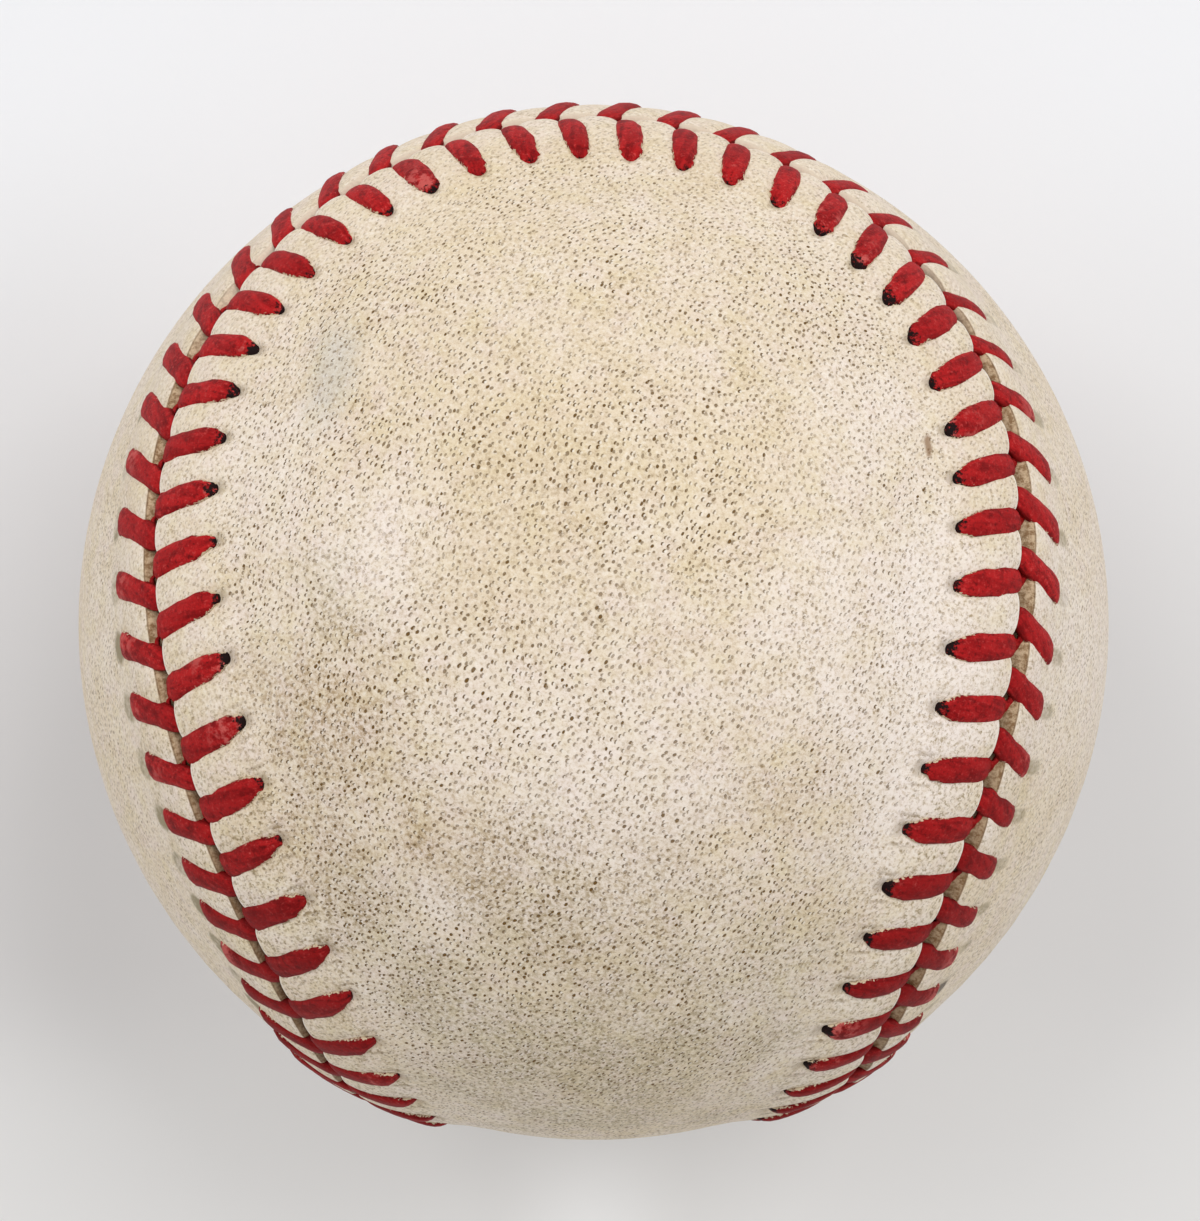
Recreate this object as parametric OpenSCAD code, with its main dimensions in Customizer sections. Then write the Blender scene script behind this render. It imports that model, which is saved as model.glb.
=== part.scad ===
// A nine-inch baseball: a cork and rubber core, four windings, two leather panels and a laced, raised seam.
// The origin is the centre of the ball. One panel has its round ends at +Z and -Z and its neck at -Y,
// the other has its round ends at +X and -X and its neck at +Y.

/* [Core] */
// Diameter of the cork and rubber core
core_d = 20.6; // [18:0.1:23]
// Thickness of the black rubber shell round the core
inner_rubber_t = 3.35; // [2.5:0.05:4.5]
// Thickness of the washer that joins the two black rubber halves
washer_t = 1.2; // [0.6:0.1:2.4]
// Thickness of the red rubber cover round the black shell
outer_rubber_t = 3.8; // [3:0.05:5]

/* [Windings] */
// Thickness of the first winding, four-ply grey wool
grey_four_ply_t = 13.85; // [10:0.05:17]
// Thickness of the second winding, three-ply white wool
white_wool_t = 1.8; // [1.2:0.05:2.4]
// Thickness of the third winding, three-ply grey wool
grey_three_ply_t = 2.25; // [1.6:0.05:3]
// Thickness of the finishing winding, fine cotton yarn
cotton_t = 0.5; // [0.3:0.05:0.8]

/* [Cover] */
// Thickness of the coat of rubber cement under the leather
cement_t = 0.12; // [0.1:0.02:0.2]
// Thickness of the leather
leather_t = 1.1; // [0.95:0.05:1.4]
// Angle from the middle of a panel's neck to the seam
neck_angle = 24.2; // [22:0.1:28]
// Angle that the seam swings sideways to make the round ends
swing_angle = 22; // [18:0.1:24]
// Small third wave of the seam, which trims the round ends
trim_angle = -1.1; // [-2:0.1:0.5]
// Gap between the two panels where their edges come closest
seam_gap = 0.6; // [0.4:0.05:0.9]
// Height of the raised seam above the leather
ridge_h = 0.95; // [0.5:0.05:1.3]
// Width of one side of the raised seam, from the seam to its foot
ridge_w = 6.8; // [6.4:0.1:8]

/* [Lacing] */
// Number of stitches along the seam
stitches = 108; // [92:4:120]
// Distance from the seam to the row of holes
hole_gap = 5.1; // [4.4:0.1:5.6]
// Diameter of the thread where it lies over the leather
thread_d = 1.4; // [1.1:0.05:1.6]
// Diameter of the thread where it goes through a hole
leg_d = 0.7; // [0.5:0.05:0.9]
// Height of the thread's middle line above the leather at its hole
hole_lift = 0.2; // [0.1:0.02:0.5]
// Height of the thread's middle line above the leather at the seam
seam_lift = 0.5; // [0.3:0.02:0.8]
// Clearance between the thread and the leather
thread_gap = 0.06; // [0.04:0.01:0.1]

/* [Hidden] */
$fn = 96;

// How far a cut runs past the face it goes through
overrun = 2;
// Radii of the layers, from the core out
core_r = core_d / 2;
black_r = core_r + inner_rubber_t;
red_r = black_r + outer_rubber_t;
grey_r = red_r + grey_four_ply_t;
white_r = grey_r + white_wool_t;
outer_grey_r = white_r + grey_three_ply_t;
yarn_r = outer_grey_r + cotton_t;
inner_r = yarn_r + cement_t;
ball_r = inner_r + leather_t;
past_r = ball_r + ridge_h + overrun;

// Which side of the seam a panel lies on, and where on the seam its first round end is
upright_side = -1;
upright_start_share = 0;
level_side = 1;
level_start_share = 0.25;
// Angle from the middle of a panel's neck to the middle of its round end
lobe_angle = 105;

// One trip round the seam is two turns of its angle
seam_turn = 720;
seam_steps = 1440;
seam_step = seam_turn / seam_steps;

// Direction of the seam from the ball's centre
function seam_dir(turn) = let (
    polar = 90 - (90 - neck_angle - trim_angle) * cos(turn) - trim_angle * cos(3 * turn),
    swing = turn / 2 + swing_angle * sin(2 * turn))
    [-sin(polar) * sin(swing), cos(polar), -sin(polar) * cos(swing)];

function unit(v) = v / norm(v);
function step_len(i) = norm(seam_dir(i * seam_step) - seam_dir((i - 1) * seam_step));

// Length of the seam so far, against its angle
seam_table = [for (i = 0, run = 0; i <= seam_steps; i = i + 1, run = run + step_len(i)) [run, i * seam_step]];
seam_run = seam_table[seam_steps][0];
function seam_at(share) = lookup((share - floor(share)) * seam_run, seam_table);

// Direction that lies a given distance from the seam, on one side of it
function off_seam(share, side, gap) = let (
    turn = seam_at(share),
    along = seam_dir(turn + seam_step) - seam_dir(turn - seam_step),
    across = unit(cross(seam_dir(turn), along)),
    tilt = gap / ball_r * 180 / PI)
    seam_dir(turn) * cos(tilt) + across * side * sin(tilt);

// The stitches along the seam, and where the thread goes down into it
pitch = seam_run * ball_r / stitches;
half_stitch_share = 0.5;
leg_gap = leg_d / 2 + 2 * thread_gap;
arm_run = hole_gap - leg_gap;
arm_len = norm([arm_run, pitch * half_stitch_share]);
arm_half = (arm_len + leg_d + thread_gap) / 2;

// Shape of the thread over the leather: share of its half length from its middle, and share of its radius there
barrel_shares = [[0, 1], [0.46, 1], [1, 0.42]];

// Height of the thread's middle line over the leather, and of its underside
function arm_x(gap) = ((gap - leg_gap) / arm_run - half_stitch_share) * arm_len;
function arm_mid_h(gap) = let (share = (gap - leg_gap) / arm_run, x = arm_x(gap))
    seam_lift + (hole_lift - seam_lift) * share - (arm_len * arm_len / 4 - x * x) / (2 * ball_r);
function arm_under_h(gap) = arm_mid_h(gap) - thread_d / 2 * lookup(abs(arm_x(gap)) / arm_half, barrel_shares);

// Each stitch has five columns of the leather's skin: the bed of the thread, its two edges and the puff between.
// The bed is this share of the thread wide, and each flank takes this share of what is left between two beds
bed_width_share = 0.94;
bed_flank_share = 0.27;
bed_edge_share = bed_width_share * thread_d / 2 / pitch;
puff_edge_share = bed_edge_share + (1 - 2 * bed_edge_share) * bed_flank_share;
column_shares = [0, bed_edge_share, puff_edge_share, 1 - puff_edge_share, 1 - bed_edge_share];
column_kinds = [0, 1, 2, 2, 1];
columns = len(column_shares);
fine = stitches * columns;
// The rows of the raised seam as shares of its width, and the height of the puffs there as shares of its height
row_shares = [0, 0.24, 0.47, 0.72];
puff_shares = [0.5, 1, 0.86, 0.36];
rows = len(row_shares);
// The edge of the bed rises over its middle by this share of the thread's diameter, and the bed lies this many
// times the clearance under the thread, as its faces are flat and the thread is round
bed_rise_share = 0.14;
bed_drop_share = 2;
// Rows of the smooth leather, from the foot of the raised seam to the middle of the panel
smooth_rows = 4;

// Distance from the seam to the panel's edge at the thread's bed, at the bed's edge and at the puff
bed_rim = leg_gap + leg_d / 2 + thread_gap;
puff_rim = seam_gap / 2;
rim_gaps = [bed_rim, (bed_rim + puff_rim) / 2, puff_rim];

function row_gap(row, kind) = row == 0 ? rim_gaps[kind] : row_shares[row] * ridge_w;
function puff_h(row) = puff_shares[row] * ridge_h;
function bed_h(row, gap) = min(puff_h(row), arm_under_h(gap) - bed_drop_share * thread_gap);
function skin_h(row, kind, gap) = kind == 2 ? puff_h(row)
    : kind == 0 ? bed_h(row, gap)
    : min(puff_h(row), bed_h(row, gap) + bed_rise_share * thread_d);

// The thread slants back from its hole to the seam by half a stitch, and the columns follow it
function slant_share(gap) = half_stitch_share * max(0, 1 - (gap - leg_gap) / arm_run);
function ridge_point(side, start, row, i) = let (
    column = i % columns,
    kind = column_kinds[column],
    gap = row_gap(row, kind),
    place = (i - column) / columns + column_shares[column] - slant_share(gap))
    off_seam(start + place / stitches, side, gap) * (ball_r + skin_h(row, kind, gap));

// Middle line of a panel, from the middle of one round end to the other
function spine_dir(side, i) = let (angle = -lobe_angle * cos(360 * i / stitches))
    side < 0 ? [0, -cos(angle), sin(angle)] : [sin(angle), cos(angle), 0];
function smooth_dir(side, start, row, i) = let (
    share = row / smooth_rows,
    foot = off_seam(start + i / stitches, side, ridge_w))
    unit(foot * (1 - share) + spine_dir(side, i) * share);

// The inner skin's faces are flat, so its corners lie far enough out for the middle of its largest face to clear
// the cement
function edge_dir(side, start, i) = unit(ridge_point(side, start, 0, i * columns));
inner_chords = [for (i = [0:stitches - 1]) each concat(
    norm(edge_dir(upright_side, upright_start_share, i) - smooth_dir(upright_side, upright_start_share, 0, i + 1)),
    [for (row = [0:smooth_rows - 1])
        norm(smooth_dir(upright_side, upright_start_share, row, i)
            - smooth_dir(upright_side, upright_start_share, row + 1, i + 1))])];
inner_skin_r = inner_r / cos(asin(max(inner_chords) / 2));

// A panel's points come in this order: the raised seam, the smooth leather and its middle line, then the inner
// edge, the inner skin and its middle line
smooth_base = rows * fine;
spine_base = smooth_base + smooth_rows * stitches;
inner_edge_base = spine_base + stitches / 2 + 1;
inner_base = inner_edge_base + stitches;
inner_spine_base = inner_base + smooth_rows * stitches;

function ring(base, count, i) = base + i % count;
function ridge(row, i) = ring(row * fine, fine, i);
function smooth(row, i) = ring(smooth_base + row * stitches, stitches, i);
function edge(i) = ring(inner_edge_base, stitches, i);
function inner(row, i) = ring(inner_base + row * stitches, stitches, i);
function spine(base, i) = let (j = i % stitches) base + min(j, stitches - j);

// Two triangles for four corners, and the fan that joins a stitch's columns to one step of a coarser row
function quad(a, b, c, d) = [[a, b, c], [a, c, d]];
function flip(faces) = [for (f = faces) [f[0], f[2], f[1]]];
function fan(row, i, from, to) = concat(
    [for (c = [0:columns - 1]) [ridge(row, i * columns + c), from, ridge(row, i * columns + c + 1)]],
    [[ridge(row, (i + 1) * columns), from, to]]);

// One leather panel without its holes: an outer and an inner skin, joined by the walls of its edge
module panel_shell(side, start) {
    points = concat(
        [for (row = [0:rows - 1]) for (i = [0:fine - 1]) ridge_point(side, start, row, i)],
        [for (row = [0:smooth_rows - 1]) for (i = [0:stitches - 1]) smooth_dir(side, start, row, i) * ball_r],
        [for (i = [0:stitches / 2]) spine_dir(side, i) * ball_r],
        [for (i = [0:stitches - 1]) edge_dir(side, start, i) * inner_skin_r],
        [for (row = [0:smooth_rows - 1]) for (i = [0:stitches - 1]) smooth_dir(side, start, row, i) * inner_skin_r],
        [for (i = [0:stitches / 2]) spine_dir(side, i) * inner_skin_r]);
    walls = [for (i = [0:stitches - 1]) each fan(0, i, edge(i), edge(i + 1))];
    raised = [for (row = [0:rows - 2]) for (i = [0:fine - 1])
        each quad(ridge(row, i), ridge(row + 1, i), ridge(row + 1, i + 1), ridge(row, i + 1))];
    foot = [for (i = [0:stitches - 1]) each fan(rows - 1, i, smooth(0, i), smooth(0, i + 1))];
    inner_foot = [for (i = [0:stitches - 1]) each quad(edge(i), inner(0, i), inner(0, i + 1), edge(i + 1))];
    flat = [for (row = [0:smooth_rows - 2]) for (i = [0:stitches - 1])
        each quad(smooth(row, i), smooth(row + 1, i), smooth(row + 1, i + 1), smooth(row, i + 1))];
    inner_flat = [for (row = [0:smooth_rows - 2]) for (i = [0:stitches - 1])
        each quad(inner(row, i), inner(row + 1, i), inner(row + 1, i + 1), inner(row, i + 1))];
    last = smooth_rows - 1;
    middle = [for (i = [0:stitches - 1])
        each quad(smooth(last, i), spine(spine_base, i), spine(spine_base, i + 1), smooth(last, i + 1))];
    inner_middle = [for (i = [0:stitches - 1])
        each quad(inner(last, i), spine(inner_spine_base, i), spine(inner_spine_base, i + 1), inner(last, i + 1))];
    faces = concat(raised, foot, flat, middle, flip(concat(walls, inner_foot, inner_flat, inner_middle)));
    polyhedron(points, side > 0 ? faces : flip(faces), convexity = 6);
}

// Puts what is drawn along Z onto a direction from the ball's centre
module aim(dir) {
    side = unit(cross(abs(dir.z) < 0.9 ? [0, 0, 1] : [1, 0, 0], dir));
    front = cross(dir, side);
    multmatrix([[side.x, front.x, dir.x, 0], [side.y, front.y, dir.y, 0], [side.z, front.z, dir.z, 0]]) children();
}

// One leather panel with its row of holes
module leather_panel(side, start) {
    difference() {
        panel_shell(side, start);
        for (i = [0:stitches - 1])
            aim(off_seam(start + i / stitches, side, hole_gap))
                translate([0, 0, inner_r - overrun])
                    cylinder(d = leg_d + 2 * thread_gap, h = past_r - inner_r + overrun, $fn = 24);
    }
}

// The thread's way down through the leather to the yarn
module leg(lift) {
    translate([0, 0, inner_r]) cylinder(d = leg_d, h = leather_t + lift, $fn = 24);
}

// The thread over the leather, along X
module barrel() {
    half_count = len(barrel_shares);
    profile = concat([[0, -arm_half]],
        [for (i = [1:half_count - 1]) let (s = barrel_shares[half_count - i])
            [s[1] * thread_d / 2, -s[0] * arm_half]],
        [for (i = [1:half_count - 1]) [barrel_shares[i][1] * thread_d / 2, barrel_shares[i][0] * arm_half]],
        [[0, arm_half]]);
    rotate([0, 90, 0]) rotate_extrude($fn = 24) polygon(profile);
}

// One half of a stitch: up through its hole, over the raised seam and down into the seam
module arm(side, start, i) {
    hole_dir = off_seam(start + i / stitches, side, hole_gap);
    seam_end_dir = off_seam(start + (i - half_stitch_share) / stitches, side, leg_gap);
    from = hole_dir * (ball_r + hole_lift);
    to = seam_end_dir * (ball_r + seam_lift);
    mid = (from + to) / 2;
    along = unit(to - from);
    up = unit(unit(mid) - along * (along * unit(mid)));
    across = cross(up, along);
    multmatrix([[along.x, across.x, up.x, mid.x], [along.y, across.y, up.y, mid.y],
        [along.z, across.z, up.z, mid.z]])
        barrel();
    aim(hole_dir) leg(hole_lift);
    aim(seam_end_dir) leg(seam_lift);
}

// A strand crosses from one panel to the other at every stitch
module strand(first) {
    for (i = [0:stitches - 1])
        if (i % 2 == first)
            arm(upright_side, upright_start_share, i);
        else
            arm(level_side, level_start_share, i);
}

// A hollow ball
module layer(outer_r, inner_r) {
    difference() {
        sphere(r = outer_r);
        sphere(r = inner_r);
    }
}

module cork_core() {
    color("peru") sphere(r = core_r);
}

module black_shell_half() {
    intersection() {
        layer(black_r, core_r);
        translate([-black_r, -black_r, washer_t / 2]) cube([2 * black_r, 2 * black_r, black_r]);
    }
}

module black_rubber_shell_upper() {
    color("dimgray") black_shell_half();
}

module black_rubber_shell_lower() {
    color("dimgray") mirror([0, 0, 1]) black_shell_half();
}

module rubber_washer() {
    color("firebrick")
        intersection() {
            layer(black_r, core_r);
            translate([0, 0, -washer_t / 2]) cylinder(r = black_r, h = washer_t);
        }
}

module red_cover_half() {
    intersection() {
        layer(red_r, black_r);
        translate([0, -red_r, -red_r]) cube([red_r, 2 * red_r, 2 * red_r]);
    }
}

module red_rubber_cover_right() {
    color("crimson") red_cover_half();
}

module red_rubber_cover_left() {
    color("crimson") mirror([1, 0, 0]) red_cover_half();
}

module grey_wool_four_ply() {
    color("slategray") layer(grey_r, red_r);
}

module white_wool_three_ply() {
    color("whitesmoke") layer(white_r, grey_r);
}

module grey_wool_three_ply() {
    color("gray") layer(outer_grey_r, white_r);
}

module cotton_finishing_yarn() {
    color("linen") layer(yarn_r, outer_grey_r);
}

module leather_panel_upright() {
    color("wheat") leather_panel(upright_side, upright_start_share);
}

module leather_panel_level() {
    color("antiquewhite") leather_panel(level_side, level_start_share);
}

module lacing_strand_a() {
    color("firebrick") strand(0);
}

module lacing_strand_b() {
    color("brown") strand(1);
}

cork_core();
black_rubber_shell_upper();
black_rubber_shell_lower();
rubber_washer();
red_rubber_cover_left();
red_rubber_cover_right();
grey_wool_four_ply();
white_wool_three_ply();
grey_wool_three_ply();
cotton_finishing_yarn();
leather_panel_upright();
leather_panel_level();
lacing_strand_a();
lacing_strand_b();
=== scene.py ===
import math

import bpy
import numpy as np
from mathutils import Matrix, Vector


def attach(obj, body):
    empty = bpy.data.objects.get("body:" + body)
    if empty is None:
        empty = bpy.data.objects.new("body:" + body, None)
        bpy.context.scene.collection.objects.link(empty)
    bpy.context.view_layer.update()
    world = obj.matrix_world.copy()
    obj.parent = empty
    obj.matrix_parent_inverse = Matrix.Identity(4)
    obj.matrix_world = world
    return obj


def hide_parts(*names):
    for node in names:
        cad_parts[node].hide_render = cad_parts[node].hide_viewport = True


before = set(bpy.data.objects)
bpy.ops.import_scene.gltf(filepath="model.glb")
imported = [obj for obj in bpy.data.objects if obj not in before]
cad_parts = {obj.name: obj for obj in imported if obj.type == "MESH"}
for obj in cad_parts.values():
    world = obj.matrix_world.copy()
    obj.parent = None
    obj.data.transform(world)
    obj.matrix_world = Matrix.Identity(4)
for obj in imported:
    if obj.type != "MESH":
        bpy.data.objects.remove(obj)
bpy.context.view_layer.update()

MM = 0.001

# The ball and its seam
BALL_R = 37.07
LEATHER_T = 1.1
NECK_ANGLE, SWING_ANGLE, TRIM_ANGLE = 24.2, 22.0, -1.1
STITCHES = 108
UPRIGHT, LEVEL = -1, 1
FIRST_STITCH = {UPRIGHT: 0, LEVEL: 27}
# A panel's middle line ends this far round from the middle of its neck
LOBE_ANGLE = 105.0
# The sewn seam leans towards the level panel on the upper half of the ball, by this much
SEAM_LEAN = 0.25
# Small steps to both sides that give the direction of a line: in turns and in stitches
SMALL_TURN, SMALL_STEP = 0.004, 0.02


def unit(v):
    return v / np.linalg.norm(v, axis=-1, keepdims=True)


def smoothstep(low, high, x):
    """0 at low and 1 at high, smooth between; low may be the larger."""
    t = np.clip((x - low) / (high - low), 0, 1)
    return t * t * (3 - 2 * t)


def between(stitch, start, full, fade, end):
    """1 from stitch full to stitch fade, and 0 before start and after end."""
    return smoothstep(start, full, stitch) * smoothstep(end, fade, stitch)


def seam_dir(turn):
    """Direction of the seam from the ball's centre; one trip round it is two turns."""
    polar = np.radians(90 - (90 - NECK_ANGLE - TRIM_ANGLE) * np.cos(turn) - TRIM_ANGLE * np.cos(3 * turn))
    swing = turn / 2 + np.radians(SWING_ANGLE) * np.sin(2 * turn)
    return np.stack([-np.sin(polar) * np.sin(swing), np.cos(polar), -np.sin(polar) * np.cos(swing)], -1)


TURNS = np.linspace(0, 4 * np.pi, 14401)
RUN = np.concatenate([[0], np.cumsum(np.linalg.norm(np.diff(seam_dir(TURNS), axis=0), axis=1))])
PITCH = RUN[-1] * BALL_R / STITCHES


def seam_turn(stitch):
    return np.interp(np.mod(np.asarray(stitch, float) / STITCHES, 1) * RUN[-1], RUN, TURNS)


def off_seam(stitch, side, gap):
    """Direction that lies gap millimetres from the seam, on one side of it."""
    turn = seam_turn(stitch)
    here = seam_dir(turn)
    across = unit(np.cross(here, seam_dir(turn + SMALL_TURN) - seam_dir(turn - SMALL_TURN)))
    lean = SEAM_LEAN * between(np.mod(stitch, STITCHES), 26, 34, 76, 84)
    tilt = ((np.asarray(gap, float) * side + lean) / BALL_R)[..., None]
    return here * np.cos(tilt) + across * np.sin(tilt)


def spine_dir(side, stitch):
    """Middle line of a panel, from the middle of one round end to the other."""
    angle = -np.radians(LOBE_ANGLE) * np.cos(2 * np.pi * (stitch - FIRST_STITCH[side]) / STITCHES)
    zero = np.zeros_like(angle)
    if side == UPRIGHT:
        return np.stack([zero, -np.cos(angle), np.sin(angle)], -1)
    return np.stack([np.sin(angle), np.cos(angle), zero], -1)


# The hand that sewed it. Stitches 34 to 76 are as measured: how far a hole lies from its even place, in
# stitches, how far from the seam, in millimetres, and how far its thread lies from the even place where
# it crosses the seam, in stitches
MEASURED_FROM = 34
HOLE_ALONG = {
    UPRIGHT: [0.26, 0.16, 0.06, 0.07, 0.01, 0.02, 0.06, 0.07, 0.05, 0.01, -0.02, -0.08, -0.16, -0.2,
              -0.22, -0.19, -0.18, -0.2, -0.2, -0.13, -0.05, 0.07, 0.14, 0.11, 0.14, 0.19, 0.21, 0.22,
              0.17, 0.17, 0.13, 0.04, -0.08, -0.07, -0.02, -0.07, -0.09, -0.11, -0.14, -0.23, -0.23,
              -0.26, -0.26],
    LEVEL: [-0.37, -0.36, -0.31, -0.38, -0.36, -0.32, -0.24, -0.18, -0.14, -0.05, 0.01, -0.01, -0.1,
            -0.14, -0.12, -0.2, -0.16, -0.17, -0.12, -0.17, -0.19, -0.24, -0.29, -0.26, -0.2, -0.19,
            -0.26, -0.4, -0.33, -0.44, -0.52, -0.5, -0.45, -0.44, -0.39, -0.43, -0.39, -0.44, -0.4,
            -0.32, -0.29, -0.23, -0.2],
}
HOLE_AWAY = {
    UPRIGHT: [5.64, 5.65, 5.61, 5.66, 5.85, 5.93, 5.83, 5.72, 5.66, 5.57, 5.55, 5.61, 5.69, 5.83, 5.96,
              6.04, 6.12, 6.18, 6.22, 6.25, 6.25, 6.25, 6.12, 5.94, 5.85, 5.88, 5.92, 5.9, 5.86, 5.79,
              5.71, 5.74, 5.8, 5.85, 5.88, 5.76, 5.59, 5.53, 5.45, 5.25, 5.1, 5.1, 5.1],
    LEVEL: [4.93, 5.0, 4.99, 4.91, 4.89, 4.95, 5.06, 5.14, 5.18, 5.3, 5.55, 5.7, 5.7, 5.66, 5.62, 5.7,
            5.75, 5.72, 5.69, 5.66, 5.77, 5.9, 6.0, 6.1, 6.1, 5.9, 5.65, 5.21, 4.97, 4.91, 4.9, 4.9,
            4.92, 4.81, 4.55, 4.4, 4.4, 4.4, 4.49, 4.6, 4.52, 4.5, 4.5],
}
CROSS_ALONG = {
    UPRIGHT: [-0.43, -0.38, -0.34, -0.32, -0.33, -0.3, -0.24, -0.2, -0.16, -0.14, -0.14, -0.15, -0.17,
              -0.21, -0.26, -0.31, -0.35, -0.38, -0.39, -0.36, -0.34, -0.31, -0.27, -0.27, -0.26, -0.3,
              -0.4, -0.44, -0.43, -0.47, -0.52, -0.52, -0.54, -0.5, -0.4, -0.35, -0.32, -0.29, -0.29,
              -0.29, -0.25, -0.24, -0.26],
    LEVEL: [-0.42, -0.5, -0.57, -0.66, -0.71, -0.72, -0.72, -0.7, -0.67, -0.66, -0.69, -0.73, -0.76,
            -0.75, -0.75, -0.79, -0.78, -0.74, -0.74, -0.72, -0.67, -0.6, -0.56, -0.56, -0.53, -0.51,
            -0.52, -0.56, -0.63, -0.71, -0.78, -0.85, -0.87, -0.85, -0.83, -0.81, -0.8, -0.79, -0.78,
            -0.78, -0.81, -0.84, -0.88],
}
# Where a thread's crossing ends, across the seam, and how much its way there bends
CROSS_GAP = {UPRIGHT: -0.65, LEVEL: -0.15}
BEND = {UPRIGHT: 1.0, LEVEL: 1.3}
# Even distances from the seam of the holes and of the foot of the raised leather
EVEN_GAP = 5.25
FOOT_GAP = 8.6
# Between these distances from the seam the threads' slant dies away in the smooth leather
SLANT_FULL_GAP, SLANT_END_GAP = 7.5, 13
random = np.random.default_rng(7)


def every_stitch(measured, usual, spread):
    """A value for each stitch: the measured ones, and the usual one with a little wander for the rest."""
    values = usual + random.normal(0, spread, STITCHES)
    last = MEASURED_FROM + len(measured)
    values[MEASURED_FROM:last] = measured
    for step in (1, 2, 3):
        values[MEASURED_FROM - step] += (measured[0] - usual) * (1 - step / 4)
        values[last - 1 + step] += (measured[-1] - usual) * (1 - step / 4)
    return values


ALONG = {side: every_stitch(HOLE_ALONG[side], usual, 0.05)
         for side, usual in ((UPRIGHT, 0.0), (LEVEL, -0.2))}
AWAY = {side: every_stitch(HOLE_AWAY[side], usual, 0.1)
        for side, usual in ((UPRIGHT, 5.6), (LEVEL, 5.1))}
CROSS = {side: every_stitch(CROSS_ALONG[side], usual, 0.04)
         for side, usual in ((UPRIGHT, -0.33), (LEVEL, -0.7))}


def thread_along(side, k, gap):
    """How far the thread of hole k lies from its even place at a gap, in stitches along the seam."""
    k = np.mod(k, STITCHES)
    share = np.clip((AWAY[side][k] - gap) / (AWAY[side][k] - CROSS_GAP[side]), 0, 1.2)
    return ALONG[side][k] + (CROSS[side][k] - ALONG[side][k]) * share ** BEND[side]


def sewn_place(side, stitch, gap):
    """Where a line that starts at a place in the hole row runs, in stitches along the seam."""
    whole = np.floor(stitch).astype(int)
    part = stitch - whole
    along = thread_along(side, whole, gap) * (1 - part) + thread_along(side, whole + 1, gap) * part
    return stitch + along * smoothstep(SLANT_END_GAP, SLANT_FULL_GAP, gap)


def hole_away(side, stitch):
    """Distance of the hole row from the seam."""
    whole = np.floor(stitch).astype(int)
    part = stitch - whole
    return AWAY[side][np.mod(whole, STITCHES)] * (1 - part) + AWAY[side][np.mod(whole + 1, STITCHES)] * part


def real_gap(even, away):
    """The distance from the seam that an even one stands for, when the holes lie nearer or farther."""
    outside = away + (even - EVEN_GAP) * (FOOT_GAP - away) / (FOOT_GAP - EVEN_GAP)
    return np.where(even < EVEN_GAP, even * away / EVEN_GAP, np.where(even > FOOT_GAP, even, outside))


# The raised leather: its height over the ball against the even distance from the seam, on the puff
# between two threads and in a thread's bed, which is this share of a stitch wide on each side
PUFF_GAPS = [0, 0.6, 1.2, 2.0, 3.0, 4.0, 5.0, 5.8, 6.9, FOOT_GAP]
PUFF_HEIGHTS = [0.8, 0.86, 0.89, 0.87, 0.78, 0.62, 0.43, 0.27, 0.1, 0]
BED_GAPS = [0, 0.8, 1.8, 3.2, 4.2, 4.9, 5.5, 6.0, 6.9, FOOT_GAP]
BED_HEIGHTS = [0.1, 0.34, 0.5, 0.42, 0.26, 0.12, 0.14, 0.17, 0.09, 0]
BED_HALF_SHARE = 0.2
DOME_POWER = 2.6
PIT_R, PIT_DEPTH, PIT_GAP = 0.3, 0.1, EVEN_GAP - 0.05
# The crest is where the skin turns over into the cut edge of the hide, which slopes down into the seam
CREST_PUFF = {UPRIGHT: 0.55, LEVEL: 1.5}
CREST_BED = {UPRIGHT: 0.95, LEVEL: 1.65}
CREST_R = 0.34
CREST_ANGLES = np.radians([19, 38, 57])
# The level panel's crest comes this much nearer the seam over the top, low on the left, and on the puffs
# of the left
CREST_TOP_SHIFT, CREST_LOW_SHIFT, PUFF_LEFT_SHIFT = 0.95, 0.25, 0.45
CUT_GAP = 0.1
CUT_FOOT_PUFF, CUT_FOOT_BED = -0.4, -0.8
CUT_SHARES = np.array([0.3, 0.65, 1])
# Columns of points in one stitch, closest at the sides of the bed, and rows of points across a panel
COLUMN_SHARES = np.array([0, 0.06, 0.115, 0.15, 0.175, 0.21, 0.26, 0.33, 0.41, 0.5,
                          0.59, 0.67, 0.74, 0.79, 0.825, 0.85, 0.885, 0.94])
COLUMNS = len(COLUMN_SHARES)
SMOOTH_SHARES = np.array([1, 0.9, 0.8, 0.7, 0.6, 0.5, 0.4, 0.3, 0.2, 0.1, 0])
RAISED_SHARES = np.array([0.07, 0.14, 0.21, 0.28, 0.335, 0.37, 0.395, 0.415, 0.432, 0.45, 0.472, 0.5,
                          0.54, 0.59, 0.65, 0.71, 0.77, 0.83, 0.885, 0.94, 1])
INNER_SHARES = np.array([0, 0.35, 0.7, 1])
LEATHER_DOUBLES, THREAD_DOUBLES = 0.015 * MM, 0.002 * MM


def curve_through(xs, ys, x):
    """A smooth line through points, with the slopes of its neighbours."""
    xs, ys = np.array(xs, float), np.array(ys, float)
    slopes = np.gradient(ys, xs)
    x = np.clip(x, xs[0], xs[-1])
    i = np.clip(np.searchsorted(xs, x) - 1, 0, len(xs) - 2)
    h = xs[i + 1] - xs[i]
    t = (x - xs[i]) / h
    return ((2 * t ** 3 - 3 * t ** 2 + 1) * ys[i] + (t ** 3 - 2 * t ** 2 + t) * h * slopes[i]
            + (3 * t ** 2 - 2 * t ** 3) * ys[i + 1] + (t ** 3 - t ** 2) * h * slopes[i + 1])


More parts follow.
